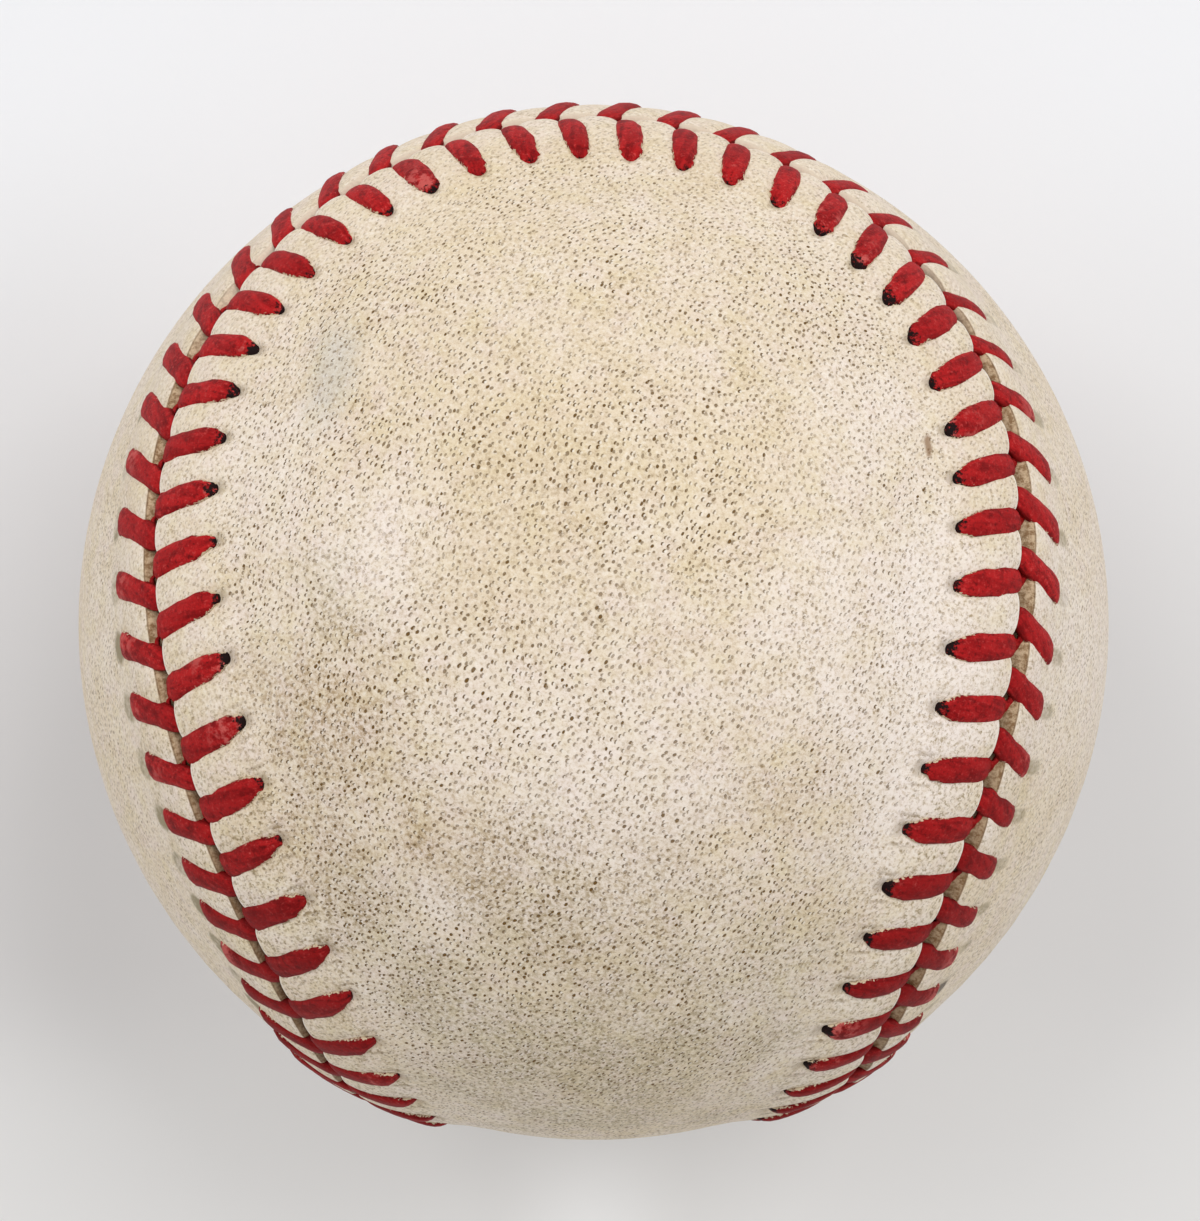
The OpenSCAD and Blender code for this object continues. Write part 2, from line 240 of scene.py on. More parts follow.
def dome(part):
    """0 in the thread's bed and 1 on the puff between two threads, swelling steeply from the thread."""
    q = 2 * np.minimum(part, 1 - part)
    t = np.clip((q - BED_HALF_SHARE) / (1 - BED_HALF_SHARE), 0, 1)
    return np.sqrt(np.clip(1 - (1 - t) ** DOME_POWER, 0, 1))


def crest_line(side, stitch, swell):
    """Even distance from the seam of a panel's crest."""
    crest = CREST_BED[side] + (CREST_PUFF[side] - CREST_BED[side]) * swell
    if side == LEVEL:
        s = np.mod(stitch, STITCHES)
        crest = crest - CREST_TOP_SHIFT * between(s, 46, 50, 61, 66) - CREST_LOW_SHIFT * smoothstep(42, 36, s)
        crest = crest - swell * PUFF_LEFT_SHIFT * smoothstep(48, 44, s)
    return crest


def panel_rows(side, stitch):
    """A panel's points in rows, from its middle line over the raised seam, round its edge and back."""
    part = stitch - np.floor(stitch)
    swell = dome(part)
    crest = crest_line(side, stitch, swell)
    cut_foot = CUT_FOOT_BED + (CUT_FOOT_PUFF - CUT_FOOT_BED) * swell
    away = hole_away(side, stitch)
    beside_hole = np.minimum(part, 1 - part) * PITCH
    rows, gaps, cuts = [], [], []

    def height(even):
        puff = curve_through(PUFF_GAPS, PUFF_HEIGHTS, even)
        bed = curve_through(BED_GAPS, BED_HEIGHTS, even)
        pit = PIT_DEPTH * np.exp(-(beside_hole ** 2 + (even - PIT_GAP) ** 2) / PIT_R ** 2)
        return bed + (puff - bed) * swell - pit

    def add(direction, even, h, cut):
        rows.append(direction * (BALL_R + h)[:, None])
        gaps.append(even)
        cuts.append(np.full_like(even, cut))

    def at(even):
        gap = real_gap(even, away)
        return off_seam(sewn_place(side, stitch, gap), side, gap)

    def add_towards_middle(shares, h, cut):
        for share in shares:
            add(unit(foot * (1 - share) + middle * share), FOOT_GAP + share * reach, h, cut)

    zero = np.zeros_like(stitch)
    middle = spine_dir(side, stitch)
    foot = at(zero + FOOT_GAP)
    reach = BALL_R * np.arccos(np.clip(np.sum(foot * middle, -1), -1, 1))
    add_towards_middle(SMOOTH_SHARES, zero, 0)
    for share in RAISED_SHARES:
        even = FOOT_GAP + (crest - FOOT_GAP) * share
        add(at(even), even, height(even), 0)
    top = height(crest)
    for angle in CREST_ANGLES:
        edge_gap, edge_height = crest - CREST_R * math.sin(angle), top - CREST_R * (1 - math.cos(angle))
        add(at(edge_gap), edge_gap, edge_height, angle / CREST_ANGLES[-1])
    for share in CUT_SHARES:
        even = edge_gap * (1 - share) + CUT_GAP * share
        add(at(even), even, edge_height * (1 - share) + cut_foot * share, 1)
    add(at(zero + CUT_GAP), zero + CUT_GAP, zero - LEATHER_T, 1)
    add_towards_middle(INNER_SHARES, zero - LEATHER_T, 1)
    return np.stack(rows), np.stack(gaps), np.stack(cuts), swell


def deselect_all():
    bpy.ops.object.select_all(action="DESELECT")


def add_grid(name, columns, rows):
    """A grid primitive, with the column and the row of each of its vertices."""
    deselect_all()
    bpy.ops.mesh.primitive_grid_add(x_subdivisions=columns, y_subdivisions=rows - 1, size=2)
    grid = bpy.context.object
    grid.name = grid.data.name = name
    co = np.zeros(len(grid.data.vertices) * 3)
    grid.data.vertices.foreach_get("co", co)
    co = co.reshape(-1, 3)
    column = np.rint((co[:, 0] + 1) / 2 * columns).astype(int)
    row = np.rint((co[:, 1] + 1) / 2 * (rows - 1)).astype(int)
    return grid, column, row


def store(mesh, name, values):
    """Keeps a number or a vector of each vertex for the materials."""
    kind, field = ("FLOAT_VECTOR", "vector") if values.ndim == 2 else ("FLOAT", "value")
    layer = mesh.attributes.new(name, kind, "POINT")
    layer.data.foreach_set(field, np.ascontiguousarray(values, np.float32).ravel())


def close_up(piece, doubles, open_ends=False):
    """Merges a shape's doubles, fills its open ends, turns its faces outwards and shades it smooth."""
    deselect_all()
    piece.select_set(True)
    bpy.context.view_layer.objects.active = piece
    bpy.ops.object.mode_set(mode="EDIT")
    bpy.ops.mesh.select_all(action="SELECT")
    bpy.ops.mesh.remove_doubles(threshold=doubles)
    if open_ends:
        bpy.ops.mesh.select_all(action="DESELECT")
        bpy.ops.mesh.select_non_manifold()
        bpy.ops.mesh.edge_face_add()
    bpy.ops.mesh.select_all(action="SELECT")
    bpy.ops.mesh.normals_make_consistent(inside=False)
    bpy.ops.object.mode_set(mode="OBJECT")
    bpy.ops.object.shade_smooth()


def leather_piece(name, side):
    """One panel, raised and scalloped along the seam: a grid laid round the ball and closed on itself."""
    count = STITCHES * COLUMNS
    index = np.arange(count)
    stitch = FIRST_STITCH[side] + index // COLUMNS + COLUMN_SHARES[index % COLUMNS]
    points, gaps, cuts, swell = panel_rows(side, stitch)
    piece, column, row = add_grid(name, count, len(points))
    at = column % count
    co = points[row, at]
    gap = gaps[row, at]
    piece.data.vertices.foreach_set("co", (co * MM).ravel())
    # Flat lay of the hide: along the panel's middle line and across it
    way = unit(co)
    if side == UPRIGHT:
        along, across = np.arctan2(way[:, 2], -way[:, 1]), np.arcsin(np.clip(way[:, 0], -1, 1))
    else:
        along, across = np.arctan2(way[:, 0], way[:, 1]), np.arcsin(np.clip(way[:, 2], -1, 1))
    store(piece.data, "hide", np.stack([along * BALL_R, across * BALL_R, np.zeros_like(along)], -1))
    store(piece.data, "gap", gap)
    store(piece.data, "cut", cuts[row, at])
    store(piece.data, "swell", swell[at])
    # Place beside the nearest hole: along the seam and outwards from it
    beside = np.minimum(COLUMN_SHARES, 1 - COLUMN_SHARES)[at % COLUMNS] * PITCH
    store(piece.data, "hole", np.stack([beside, gap - EVEN_GAP, np.full_like(gap, side == LEVEL)], -1))
    close_up(piece, LEATHER_DOUBLES)
    return piece


# The thread along a stitch, from its hole (0) to its crossing (1): step, height over the ball, half width
ARMS = {
    UPRIGHT: [(-0.1, -1.0, 0.24), (-0.05, -0.6, 0.28), (-0.01, -0.2, 0.33), (0.03, 0.1, 0.38),
              (0.06, 0.28, 0.47), (0.1, 0.4, 0.6), (0.16, 0.48, 0.76), (0.25, 0.53, 0.87),
              (0.36, 0.56, 0.92), (0.48, 0.57, 0.94), (0.6, 0.56, 0.94), (0.7, 0.53, 0.91),
              (0.78, 0.47, 0.86), (0.85, 0.34, 0.77), (0.91, 0.16, 0.62), (0.96, 0.1, 0.46)],
    LEVEL: [(-0.12, -1.0, 0.8), (-0.07, -0.6, 0.86), (-0.01, -0.2, 0.9), (0.04, 0.08, 0.92),
            (0.08, 0.26, 0.94), (0.14, 0.38, 0.94), (0.24, 0.46, 0.94), (0.38, 0.51, 0.93),
            (0.52, 0.53, 0.91), (0.66, 0.54, 0.89), (0.78, 0.54, 0.88), (0.88, 0.54, 0.86),
            (0.96, 0.5, 0.8), (1.04, 0.38, 0.68), (1.1, 0.12, 0.5)],
}
# Where the thread turns down into its hole
PLUNGE = {UPRIGHT: 0.03, LEVEL: 0.075}
# From the crossing the upright panel's thread runs back along the seam: stitches, height, half width
TAIL = [(0.05, 0.2, 0.33), (0.13, 0.34, 0.3), (0.24, 0.36, 0.28), (0.34, 0.32, 0.27), (0.44, 0.1, 0.24)]
TAIL_GAP = -0.72
ARM_SIDES = 12
THICK_SHARE = 0.46
# A thread pressed into its bed is rounder than a box and squarer than an oval
SQUARENESS = 0.85
# How uneven a stitch is: its edges, its edges at the upright panel's hole, and its whole width
EDGE_WANDER, HOLE_WANDER, WIDTH_WANDER = 0.04, 0.12, 0.035


def slender(s):
    """1 where the level panel's stitches are slender and pointed, from the top on to the right."""
    return between(s, 55, 59, 62, 66)


def arm_width(side, s, step, width):
    """Half widths of a stitch, with what is its own by its place on the ball."""
    over_top = between(s, 45, 50, 61, 65)
    if side == UPRIGHT:
        # Blunt ends and a slender foot over the top, a broad foot on the left
        width = width * (1 + 0.7 * over_top * smoothstep(48, 53, s) * smoothstep(0.17, 0, step))
        width = width * (1 - 0.35 * over_top * smoothstep(0.6, 0.95, step))
        return width * (1 + 0.25 * smoothstep(0.6, 0.85, step) * smoothstep(50, 46, s))
    width = width * (1 - slender(s) * (0.12 + 0.3 * smoothstep(0.55, 0, step)))
    width = width * (1 - 0.25 * over_top * smoothstep(0.4, 0, step))
    return width * (1 - 0.16 * smoothstep(60, 66, s) * smoothstep(0.45, 0, step))


def arm_line(side, k):
    """Middle line of a stitch, the way across it, and the step and half width at each of its points."""
    step, lift, width = np.array(ARMS[side]).T
    s = k % STITCHES
    away = AWAY[side][s]
    width = arm_width(side, s, step, width)
    if side == LEVEL:
        lift = lift - 0.12 * slender(s) * (step > 0)

    def line(steps):
        gap = away + (CROSS_GAP[side] - away) * steps
        return k + thread_along(side, k, gap), gap

    place, gap = line(np.maximum(step, PLUNGE[side]))
    flat_place, flat_gap = line(step)
    if side == UPRIGHT:
        back, tail_lift, tail_width = np.array(TAIL).T
        tail_gap = np.full(len(TAIL), TAIL_GAP)
        place, gap = np.append(place, place[-1] - back), np.append(gap, tail_gap)
        flat_place, flat_gap = np.append(flat_place, flat_place[-1] - back), np.append(flat_gap, tail_gap)
        lift, width = np.append(lift, tail_lift), np.append(width, tail_width)
        step = np.append(step, 1 + back)
    flat = off_seam(flat_place, side, flat_gap)
    across = unit(np.cross(flat, np.gradient(flat, axis=0)))
    # At its hole the thread ends along the row of holes, not square to itself
    ahead, behind = (off_seam(flat_place + step_by, side, flat_gap) for step_by in (SMALL_STEP, -SMALL_STEP))
    row = unit(ahead - behind)
    row = row * np.sign(np.sum(row * across, -1, keepdims=True))
    sheared = unit(across + (row - across) * (smoothstep(0.34, 0.06, step) * (step <= 1))[:, None])
    width = width / np.clip(np.sum(sheared * across, -1), 0.6, 1)
    return off_seam(place, side, gap) * (BALL_R + lift)[:, None], sheared, step, width


def stitch_pattern(side):
    """The ring of each vertex of a stitch, its share of the way round that ring, and the faces."""
    rings = len(ARMS[side]) + (len(TAIL) if side == UPRIGHT else 0)
    grid, column, ring = add_grid("pattern", ARM_SIDES, rings)
    faces = [list(polygon.vertices) for polygon in grid.data.polygons]
    bpy.data.objects.remove(grid)
    return ring, column / ARM_SIDES, faces


def strand_piece(name, first):
    """Every stitch of one strand, each bent and worn from the same pattern."""
    patterns = {side: stitch_pattern(side) for side in (UPRIGHT, LEVEL)}
    vertices, polygons, strand, tone = [], [], [], []
    base = 0
    for i in range(STITCHES):
        side = UPRIGHT if i % 2 == first else LEVEL
        ring, round_share, faces = patterns[side]
        middle, across, step, width = arm_line(side, FIRST_STITCH[side] + i)
        up = unit(np.cross(np.gradient(middle, axis=0), across))
        uneven = EDGE_WANDER + HOLE_WANDER * smoothstep(0.2, 0.02, step) * (side == UPRIGHT)
        edges = 1 + random.normal(0, 1, (2, len(step))) * uneven + random.normal(0, WIDTH_WANDER)
        # A ring starts and ends underneath, so the top lies at half of its share
        angle = (round_share + 0.5) * 2 * np.pi
        sin, cos = np.sin(angle), np.cos(angle)
        half = width[ring] * np.where(sin > 0, edges[0][ring], edges[1][ring])
        x = np.sign(sin) * np.abs(sin) ** SQUARENESS * half
        y = np.sign(cos) * np.abs(cos) ** SQUARENESS * width[ring] * THICK_SHARE
        vertices.append(middle[ring] + across[ring] * x[:, None] + up[ring] * y[:, None])
        polygons.extend([[base + v for v in face] for face in faces])
        strand.append(np.stack([step[ring], round_share, np.full(len(ring), float(i))], -1))
        tone.append(np.tile([random.random(), random.random(), float(side == UPRIGHT)], (len(ring), 1)))
        base += len(ring)
    mesh = bpy.data.meshes.new(name)
    mesh.from_pydata((np.concatenate(vertices) * MM).tolist(), [], polygons)
    piece = bpy.data.objects.new(name, mesh)
    bpy.context.scene.collection.objects.link(piece)
    store(mesh, "strand", np.concatenate(strand))
    store(mesh, "tone", np.concatenate(tone))
    close_up(piece, THREAD_DOUBLES, open_ends=True)
    return piece


def srgb(r, g, b):
    """A colour in screen values of 0 to 255, turned by the standard curve into a shader's own values."""
    return tuple(((c / 255 + 0.055) / 1.055) ** 2.4 if c > 10 else c / 255 / 12.92
                 for c in (r, g, b)) + (1.0,)


class Wire:
    """A node's output that can be added, multiplied and compared in plain expressions."""

    def __init__(self, finish, socket):
        self.finish, self.socket = finish, socket

    def math(self, operation, *others, clamp=False):
        return self.finish.node("ShaderNodeMath", {"operation": operation, "use_clamp": clamp}, self, *others)

    def __add__(self, other):
        return self.math("ADD", other)

    def __radd__(self, other):
        return self.math("ADD", other)

    def __sub__(self, other):
        return self.math("SUBTRACT", other)

    def __rsub__(self, other):
        return self.finish.node("ShaderNodeMath", {"operation": "SUBTRACT"}, other, self)

    def __mul__(self, other):
        return self.math("MULTIPLY", other)

    def __rmul__(self, other):
        return self.math("MULTIPLY", other)

    def step(self, low, high):
        """0 at low and 1 at high, smooth between; low may be the larger."""
        return self.finish.node("ShaderNodeMapRange", {"interpolation_type": "SMOOTHSTEP"},
                                self, low, high, 0.0, 1.0)

    def clamped(self):
        return self.math("ADD", 0.0, clamp=True)

    def output(self, name):
        """Another output of the same node."""
        return Wire(self.finish, self.socket.node.outputs[name])


class Finish:
    """A material built on a Principled shader."""

    def __init__(self, name):
        self.material = bpy.data.materials.new(name)
        self.material.use_nodes = True
        self.tree = self.material.node_tree
        self.shader = self.tree.nodes["Principled BSDF"]

    def node(self, kind, settings=None, *values, out=0, **named):
        """A node with its settings, and the values or links of its sockets by number or by name."""
        node = self.tree.nodes.new(kind)
        for key, value in (settings or {}).items():
            setattr(node, key, value)
        for key, value in list(enumerate(values)) + list(named.items()):
            self.feed(node.inputs[key.replace("_", " ") if isinstance(key, str) else key], value)
        return Wire(self, node.outputs[out])

    def feed(self, socket, value):
        if isinstance(value, Wire):
            self.tree.links.new(value.socket, socket)
        elif value is not None:
            socket.default_value = value

    def vector(self, operation, *values):
        """A step of vector maths; a length, a distance or a dot product comes out as a number."""
        out = "Value" if operation in ("LENGTH", "DISTANCE", "DOT_PRODUCT") else "Vector"
        return self.node("ShaderNodeVectorMath", {"operation": operation}, *values, out=out)

    def parts(self, vector):
        """The three numbers of a vector."""
        x = self.node("ShaderNodeSeparateXYZ", None, vector)
        return x, x.output("Y"), x.output("Z")

    def point(self, x, y, z):
        return self.node("ShaderNodeCombineXYZ", None, x, y, z)

    def attribute(self, name, out="Fac"):
        return self.node("ShaderNodeAttribute", {"attribute_name": name}, out=out)

    def place(self):
        """Object coordinates, in millimetres."""
        return self.vector("SCALE", self.node("ShaderNodeTexCoord", out="Object"), None, None, 1 / MM)

    def near(self, where, at, weights=None):
        """Distance from a point, in millimetres, with weights for each direction."""
        if weights is None:
            return self.vector("DISTANCE", where, at)
        return self.vector("LENGTH", self.vector("MULTIPLY", self.vector("SUBTRACT", where, at), weights))

    def noise(self, vector, scale, detail, rough, out="Fac", dims="3D"):
        return self.node("ShaderNodeTexNoise", {"noise_dimensions": dims}, out=out,
                         Vector=vector, Scale=scale, Detail=detail, Roughness=rough)

    def mix(self, share, a, b):
        """Colour a where the share is 0 and b where it is 1."""
        # The mix node's sockets 6 and 7 and its output 2 are colours, and those between are for other kinds
        return self.node("ShaderNodeMix", {"data_type": "RGBA"}, share, *[None] * 5, a, b, out=2)

    def coats(self, color, *coats):
        """Lays coats over a colour, each with its share and its own colour."""
        for share, coat in coats:
            color = self.mix(share, color, srgb(*coat))
        return color

    def bump(self, height, distance, strength):
        return self.node("ShaderNodeBump", Height=height, Distance=distance * MM, Strength=strength)

    def paint(self, color, roughness, normal, **fixed):
        for key, value in (("Base Color", color), ("Roughness", roughness), ("Normal", normal)):
            self.feed(self.shader.inputs[key], value)
        for key, value in fixed.items():
            self.feed(self.shader.inputs[key.replace("_", " ")], value)
        return self.material


# Stains and fields of the worn leather: place, reach, strength
OLIVE_STAINS = [((-0.5, -28.0, 24.0), 14.0, 0.62), ((-14.2, -16.7, 29.9), 6.0, 0.4),
                ((-9.5, -22.1, 28.2), 6.0, 0.5), ((-3.1, -17.0, 32.8), 8.0, 0.42),
                ((-15.2, 3.1, 33.7), 3.4, 0.35), ((11.0, -19.0, 29.5), 7.0, 0.35),
                ((2.0, -20.0, 31.0), 9.0, 0.3)]
BROWN_STAINS = [((-16.0, -4.1, 33.2), 6.5, 0.5), ((-16.5, -12.0, 30.8), 7.0, 0.35),
                ((-10.5, -11.3, 33.7), 3.2, 0.5), ((-7.2, -12.0, 34.3), 5.0, 0.35),
                ((-13.5, -7.0, 33.6), 4.5, 0.38), ((12.0, -9.2, 33.8), 4.5, 0.25),
                ((1.0, -15.0, 33.5), 7.0, 0.22), ((-2.0, 6.0, 36.2), 9.0, 0.16)]
TAN_FIELDS = [((-0.6, 11.6, 35.2), 9.5, 0.5), ((6.8, 10.4, 35.2), 7.5, 0.4),
              ((-4.2, 5.3, 36.5), 6.5, 0.45), ((-6.5, 27.0, 24.4), 8.0, 0.4),
              ((10.5, 12.2, 33.4), 5.5, 0.35), ((31.0, -10.0, 17.8), 7.0, 0.3)]
PALE_FIELDS = [((-9.1, -15.6, 32.4), 3.8, 0.6), ((13.4, 0.3, 34.6), 6.5, 0.5),
               ((-12.5, 6.2, 34.3), 4.8, 0.5), ((3.1, -7.2, 36.2), 8.5, 0.45),
               ((16.5, -8.0, 32.2), 4.5, 0.35), ((-19.0, 12.0, 29.5), 5.5, 0.3),
               ((17.0, 14.0, 29.7), 5.5, 0.35), ((20.0, -3.0, 31.0), 13.0, 0.7),
               ((34.0, -2.0, 14.0), 13.0, 0.4), ((0.0, -9.0, 35.6), 12.0, 0.4)]
SMUDGE_AT, NICK_AT, SPOT_AT = (-15.5, 17.2, 29.0), (21.1, 11.8, 28.0), (23.0, -23.8, 16.7)
WORN_SIDE_AT = (-13.0, -12.0, 32.0)
# Pores: how many fit in a millimetre, how far their lines lean, and how much longer than wide they are
PORE_SCALE, PORE_LEAN, PORE_STRETCH = 2.6, math.radians(33), 1.45


class Hide:
    """What the leather's finish reads: places, distances from the seam and the nearest hole, and noises."""

    def __init__(self, f):
        self.where = f.place()
        self.right, self.up, self.front = f.parts(self.where)
        self.lay = f.attribute("hide", "Vector")
        self.gap, self.cut, self.swell = f.attribute("gap"), f.attribute("cut"), f.attribute("swell")
        self.beside, self.outwards, self.level = f.parts(f.attribute("hole", "Vector"))
        self.blot = f.noise(self.where, 0.22, 5, 0.62)
        self.mottle = f.noise(self.where, 0.34, 5, 0.7)
        self.speckle = f.noise(self.where, 1.6, 4, 0.7)
        self.specks = f.noise(self.where, 3.2, 4, 0.75)
        self.grain = f.noise(self.where, 4.5, 3, 0.65)


def blots(f, hide, stains, ragged):
    """How strong the strongest of some ragged stains is at each place."""
    total = None
    for at, reach, strength in stains:
        away = f.near(hide.where, at) + (hide.blot - 0.5) * (ragged * reach)
        one = away.step(reach * 1.25, reach * 0.1) * strength
        total = one if total is None else total.math("MAXIMUM", one)
    return total


def skin_color(f, hide, pale):
    """Cream leather with tan, pale, olive and brown fields, a bluish smudge and dirt in the grain."""
    fields = f.noise(hide.where, 0.07, 4, 0.55)
    tint = f.noise(hide.where, 0.55, 4, 0.6)
    ingrained = hide.specks.step(0.42, 0.62) * 1.1 + hide.speckle * 0.5
    smudge = (f.near(hide.where, SMUDGE_AT, (0.85, 0.4, 0.5))
              + (hide.speckle - 0.5) * 1.6 + (hide.blot - 0.5) * 3.0)
    worked = f.noise(hide.where, 0.35, 3, 0.6).step(0.4, 0.62) * 0.6 + 0.25
    return f.coats(
        f.mix(fields.step(0.38, 0.64), srgb(236, 222, 204), srgb(230, 213, 188)),
        (hide.mottle.step(0.5, 0.68) * 0.4, (212, 190, 152)),
        (hide.mottle.step(0.48, 0.34) * 0.35, (244, 233, 220)),
        (tint.step(0.5, 0.68) * 0.45, (226, 210, 170)),
        (tint.step(0.5, 0.34) * 0.45, (234, 216, 208)),
        (blots(f, hide, TAN_FIELDS, 2.4), (226, 206, 168)),
        (hide.up.step(2.0, 22.0) * 0.22, (214, 194, 162)),
        (pale, (247, 236, 229)),
        (hide.speckle.step(0.42, 0.72) * 0.25, (198, 178, 146)),
        (hide.grain.step(0.5, 0.68) * 0.45, (186, 162, 128)),
        (hide.grain.step(0.48, 0.3) * 0.45, (250, 243, 232)),
        ((blots(f, hide, OLIVE_STAINS, 2.6) * ingrained).clamped(), (164, 151, 119)),
        ((blots(f, hide, BROWN_STAINS, 2.6) * ingrained).clamped(), (156, 124, 78)),
        (smudge.step(2.4, 0.3) * 0.27, (164, 178, 184)),
        ((hide.specks.step(0.52, 0.68) * worked).clamped(), (164, 142, 108)))


def bent_lay(f, hide):
    """The flat lay of the hide, bent so that its pores stand in lines that wander."""
    warp = f.noise(hide.lay, 0.16, 1, 0.5, out="Color", dims="2D")
    fine_warp = f.noise(hide.lay, 4.0, 1, 0.5, out="Color", dims="2D")
    bent = f.vector("MULTIPLY_ADD", warp, (1.2, 1.2, 0), hide.lay)
    return f.vector("MULTIPLY_ADD", fine_warp, (0.06, 0.06, 0), bent)


def pores(f, hide, bent, pale):
    """Hair holes of the hide: the dark of each, and a painted highlight on the lit side of its edge that
    bites into the dark and leaves a crescent.
    """
    turned = f.node("ShaderNodeMapping", {"vector_type": "TEXTURE"}, bent, None, (0, 0, PORE_LEAN),
                    (PORE_STRETCH, 1.0, 1.0))
    cells = f.node("ShaderNodeTexVoronoi", {"voronoi_dimensions": "2D", "feature": "F1"}, out="Color",
                   Vector=turned, Scale=PORE_SCALE, Randomness=0.88)
    own_size = f.node("ShaderNodeSeparateColor", None, cells)
    own_dark, own_lip = own_size.output("Green"), own_size.output("Blue")
    away = f.vector("SUBTRACT", turned, cells.output("Position"))
    from_lip = f.vector("DISTANCE", away, (0.012, 0.07, 0.0))
    inside = (own_size * 0.028 + 0.06 - f.vector("LENGTH", away)).step(-0.03, 0.02)
    dark = inside * (1.0 - (0.064 - from_lip).step(-0.02, 0.02) * own_lip.step(0.2, 0.5))
    # Painted highlight on the lit side of each hole's edge
    painted_lip_highlight = (0.076 - from_lip).step(-0.02, 0.03) * own_lip.step(0.3, 0.8)

    richness = f.noise(hide.where, 0.13, 4, 0.6).step(0.36, 0.62) * 0.5 + 0.6
    open_skin = hide.gap.step(4.0, 8.5) * 0.6 + 0.4
    weak = (1.0 - pale * 0.4) * (1.0 - hide.level * 0.35)
    worn_side = f.near(hide.where, WORN_SIDE_AT).step(17.0, 6.0)
    strength = (richness + worn_side * 0.3) * open_skin * weak * (own_dark * own_dark * 0.5 + 0.62)
    return (dark * strength).clamped(), (painted_lip_highlight * strength * 0.5).clamped()


def seam_dirt_and_shade(f, hide, color):
    """Dirt at the holes, dirt and painted shade in the slots behind the level panel's threads, and dirt, and
    creases darkened by dirt and painted shade, low down.
    """
    near_hole = f.vector("LENGTH", f.point(hide.beside, hide.outwards - 0.35, 0.0))
    dirt = (near_hole + (hide.specks - 0.5) * 1.8).step(0.62, 0.38)
    # An oval slot beyond each level-panel hole, darkened partly by dirt and partly by painted shade of its
    # recess
    open_slot = hide.right.step(10.0, -10.0)
    oval = f.vector("LENGTH", f.point(hide.beside * (1.9 - open_slot * 0.85),
                                      hide.outwards * 1.15 - 0.95, 0.0))
    slot = (oval + (hide.specks - 0.5) * 1.3).step(1.32, 0.8) * hide.level * (open_slot * 0.35 + 0.6)
    slot = slot * (hide.front.step(-4.0, 8.0) * 0.8 + 0.2) * (hide.mottle.step(0.4, 0.58) * 0.75 + 0.4)
    lower = hide.up.step(6.0, -12.0)
    worked_in = hide.specks.step(0.5, 0.64) * hide.speckle.step(0.44, 0.6) * hide.gap.step(7.0, 4.0) * lower
    # A crease beside each upright-panel hole low down, darkened partly by dirt and partly by painted shade
    crease = (hide.beside - 0.95 + (hide.specks - 0.5) * 0.9).math("ABSOLUTE").step(0.16, 0.05)
    crease = crease * (hide.outwards - 0.1).math("ABSOLUTE").step(1.0, 0.4) * (1.0 - hide.level) * lower
    return f.coats(
        color,
        (dirt * (1.0 - hide.level) * 0.32, (138, 116, 84)),
        ((slot * (hide.specks * 0.7 + 0.6)).clamped(), (152, 138, 108)),
        (worked_in * 0.65, (150, 132, 96)),
        (crease * (hide.speckle * 0.9), (128, 104, 70)))


def small_marks(f, hide, color):
    """A long nick right of the middle and a dark spot at the lower right seam."""
    nick = (f.near(hide.where, NICK_AT, (1.3, 0.5, 0.6)) + (hide.speckle - 0.5) * 0.9).step(0.5, 0.2)
    spot = (f.near(hide.where, SPOT_AT) + (hide.speckle - 0.5) * 1.0).step(0.8, 0.4)
    return f.coats(color, (nick * 0.8, (140, 104, 70)), (spot * 0.85, (74, 62, 50)))


def cut_edge(f, hide, color, fibres):
    """The hide's cut edge: painted light that makes it paler at the top, painted shade that darkens it beside
    the threads and low on the ball, dirt and painted shade down in the seam, a painted highlight along the
    crest, a dark line of dirt and painted shade where the crest turns down, and painted dark red shade under
    a thread.
    """
    top = hide.up.step(17.0, 28.0)
    cut_color = f.coats(
        f.mix(fibres.step(0.38, 0.62), srgb(138, 106, 70), srgb(204, 178, 144)),
        # Painted shade: darker beside the threads, where the cut edge dips under them
        (hide.swell.step(0.7, 0.1) * (0.75 - top * 0.6), (78, 50, 34)),
        # Painted shade: darker and browner low on the ball
        (hide.up.step(0.0, -16.0) * 0.35, (112, 82, 54)),
        # Paler at the top: partly the cut face's own paler colour there, partly painted light that lifts the
        # seam's shade
        (top * 0.9, (240, 225, 204)),
        # Darker down in the seam: partly dirt, partly painted shade
        (hide.gap.step(0.6, 0.25) * (0.7 - top * 0.6), (96, 72, 54)))
    # Painted highlight along the crest, faint on the level panel
    rim_highlight = hide.cut.step(0.0, 0.15) * hide.cut.step(0.55, 0.3)
    # Painted shade, dark red, where the cut edge lies under a thread
    shade_under_thread = ((hide.cut.step(0.02, 0.2) + hide.gap.step(2.1, 1.5)).clamped()
                    * hide.swell.step(0.62, 0.28))
    # A dark line of dirt and painted shade where the crest turns down into the cut
    line = hide.cut.step(0.5, 0.75) * hide.cut.step(1.0, 0.85)
    return f.coats(
        f.mix(hide.cut.step(0.45, 0.75), color, cut_color),
        (rim_highlight * (0.6 - hide.level * 0.55), (248, 242, 232)),
        (shade_under_thread * 0.9, (78, 28, 24)),
        (line * (0.55 - top * 0.45), (108, 84, 60)))


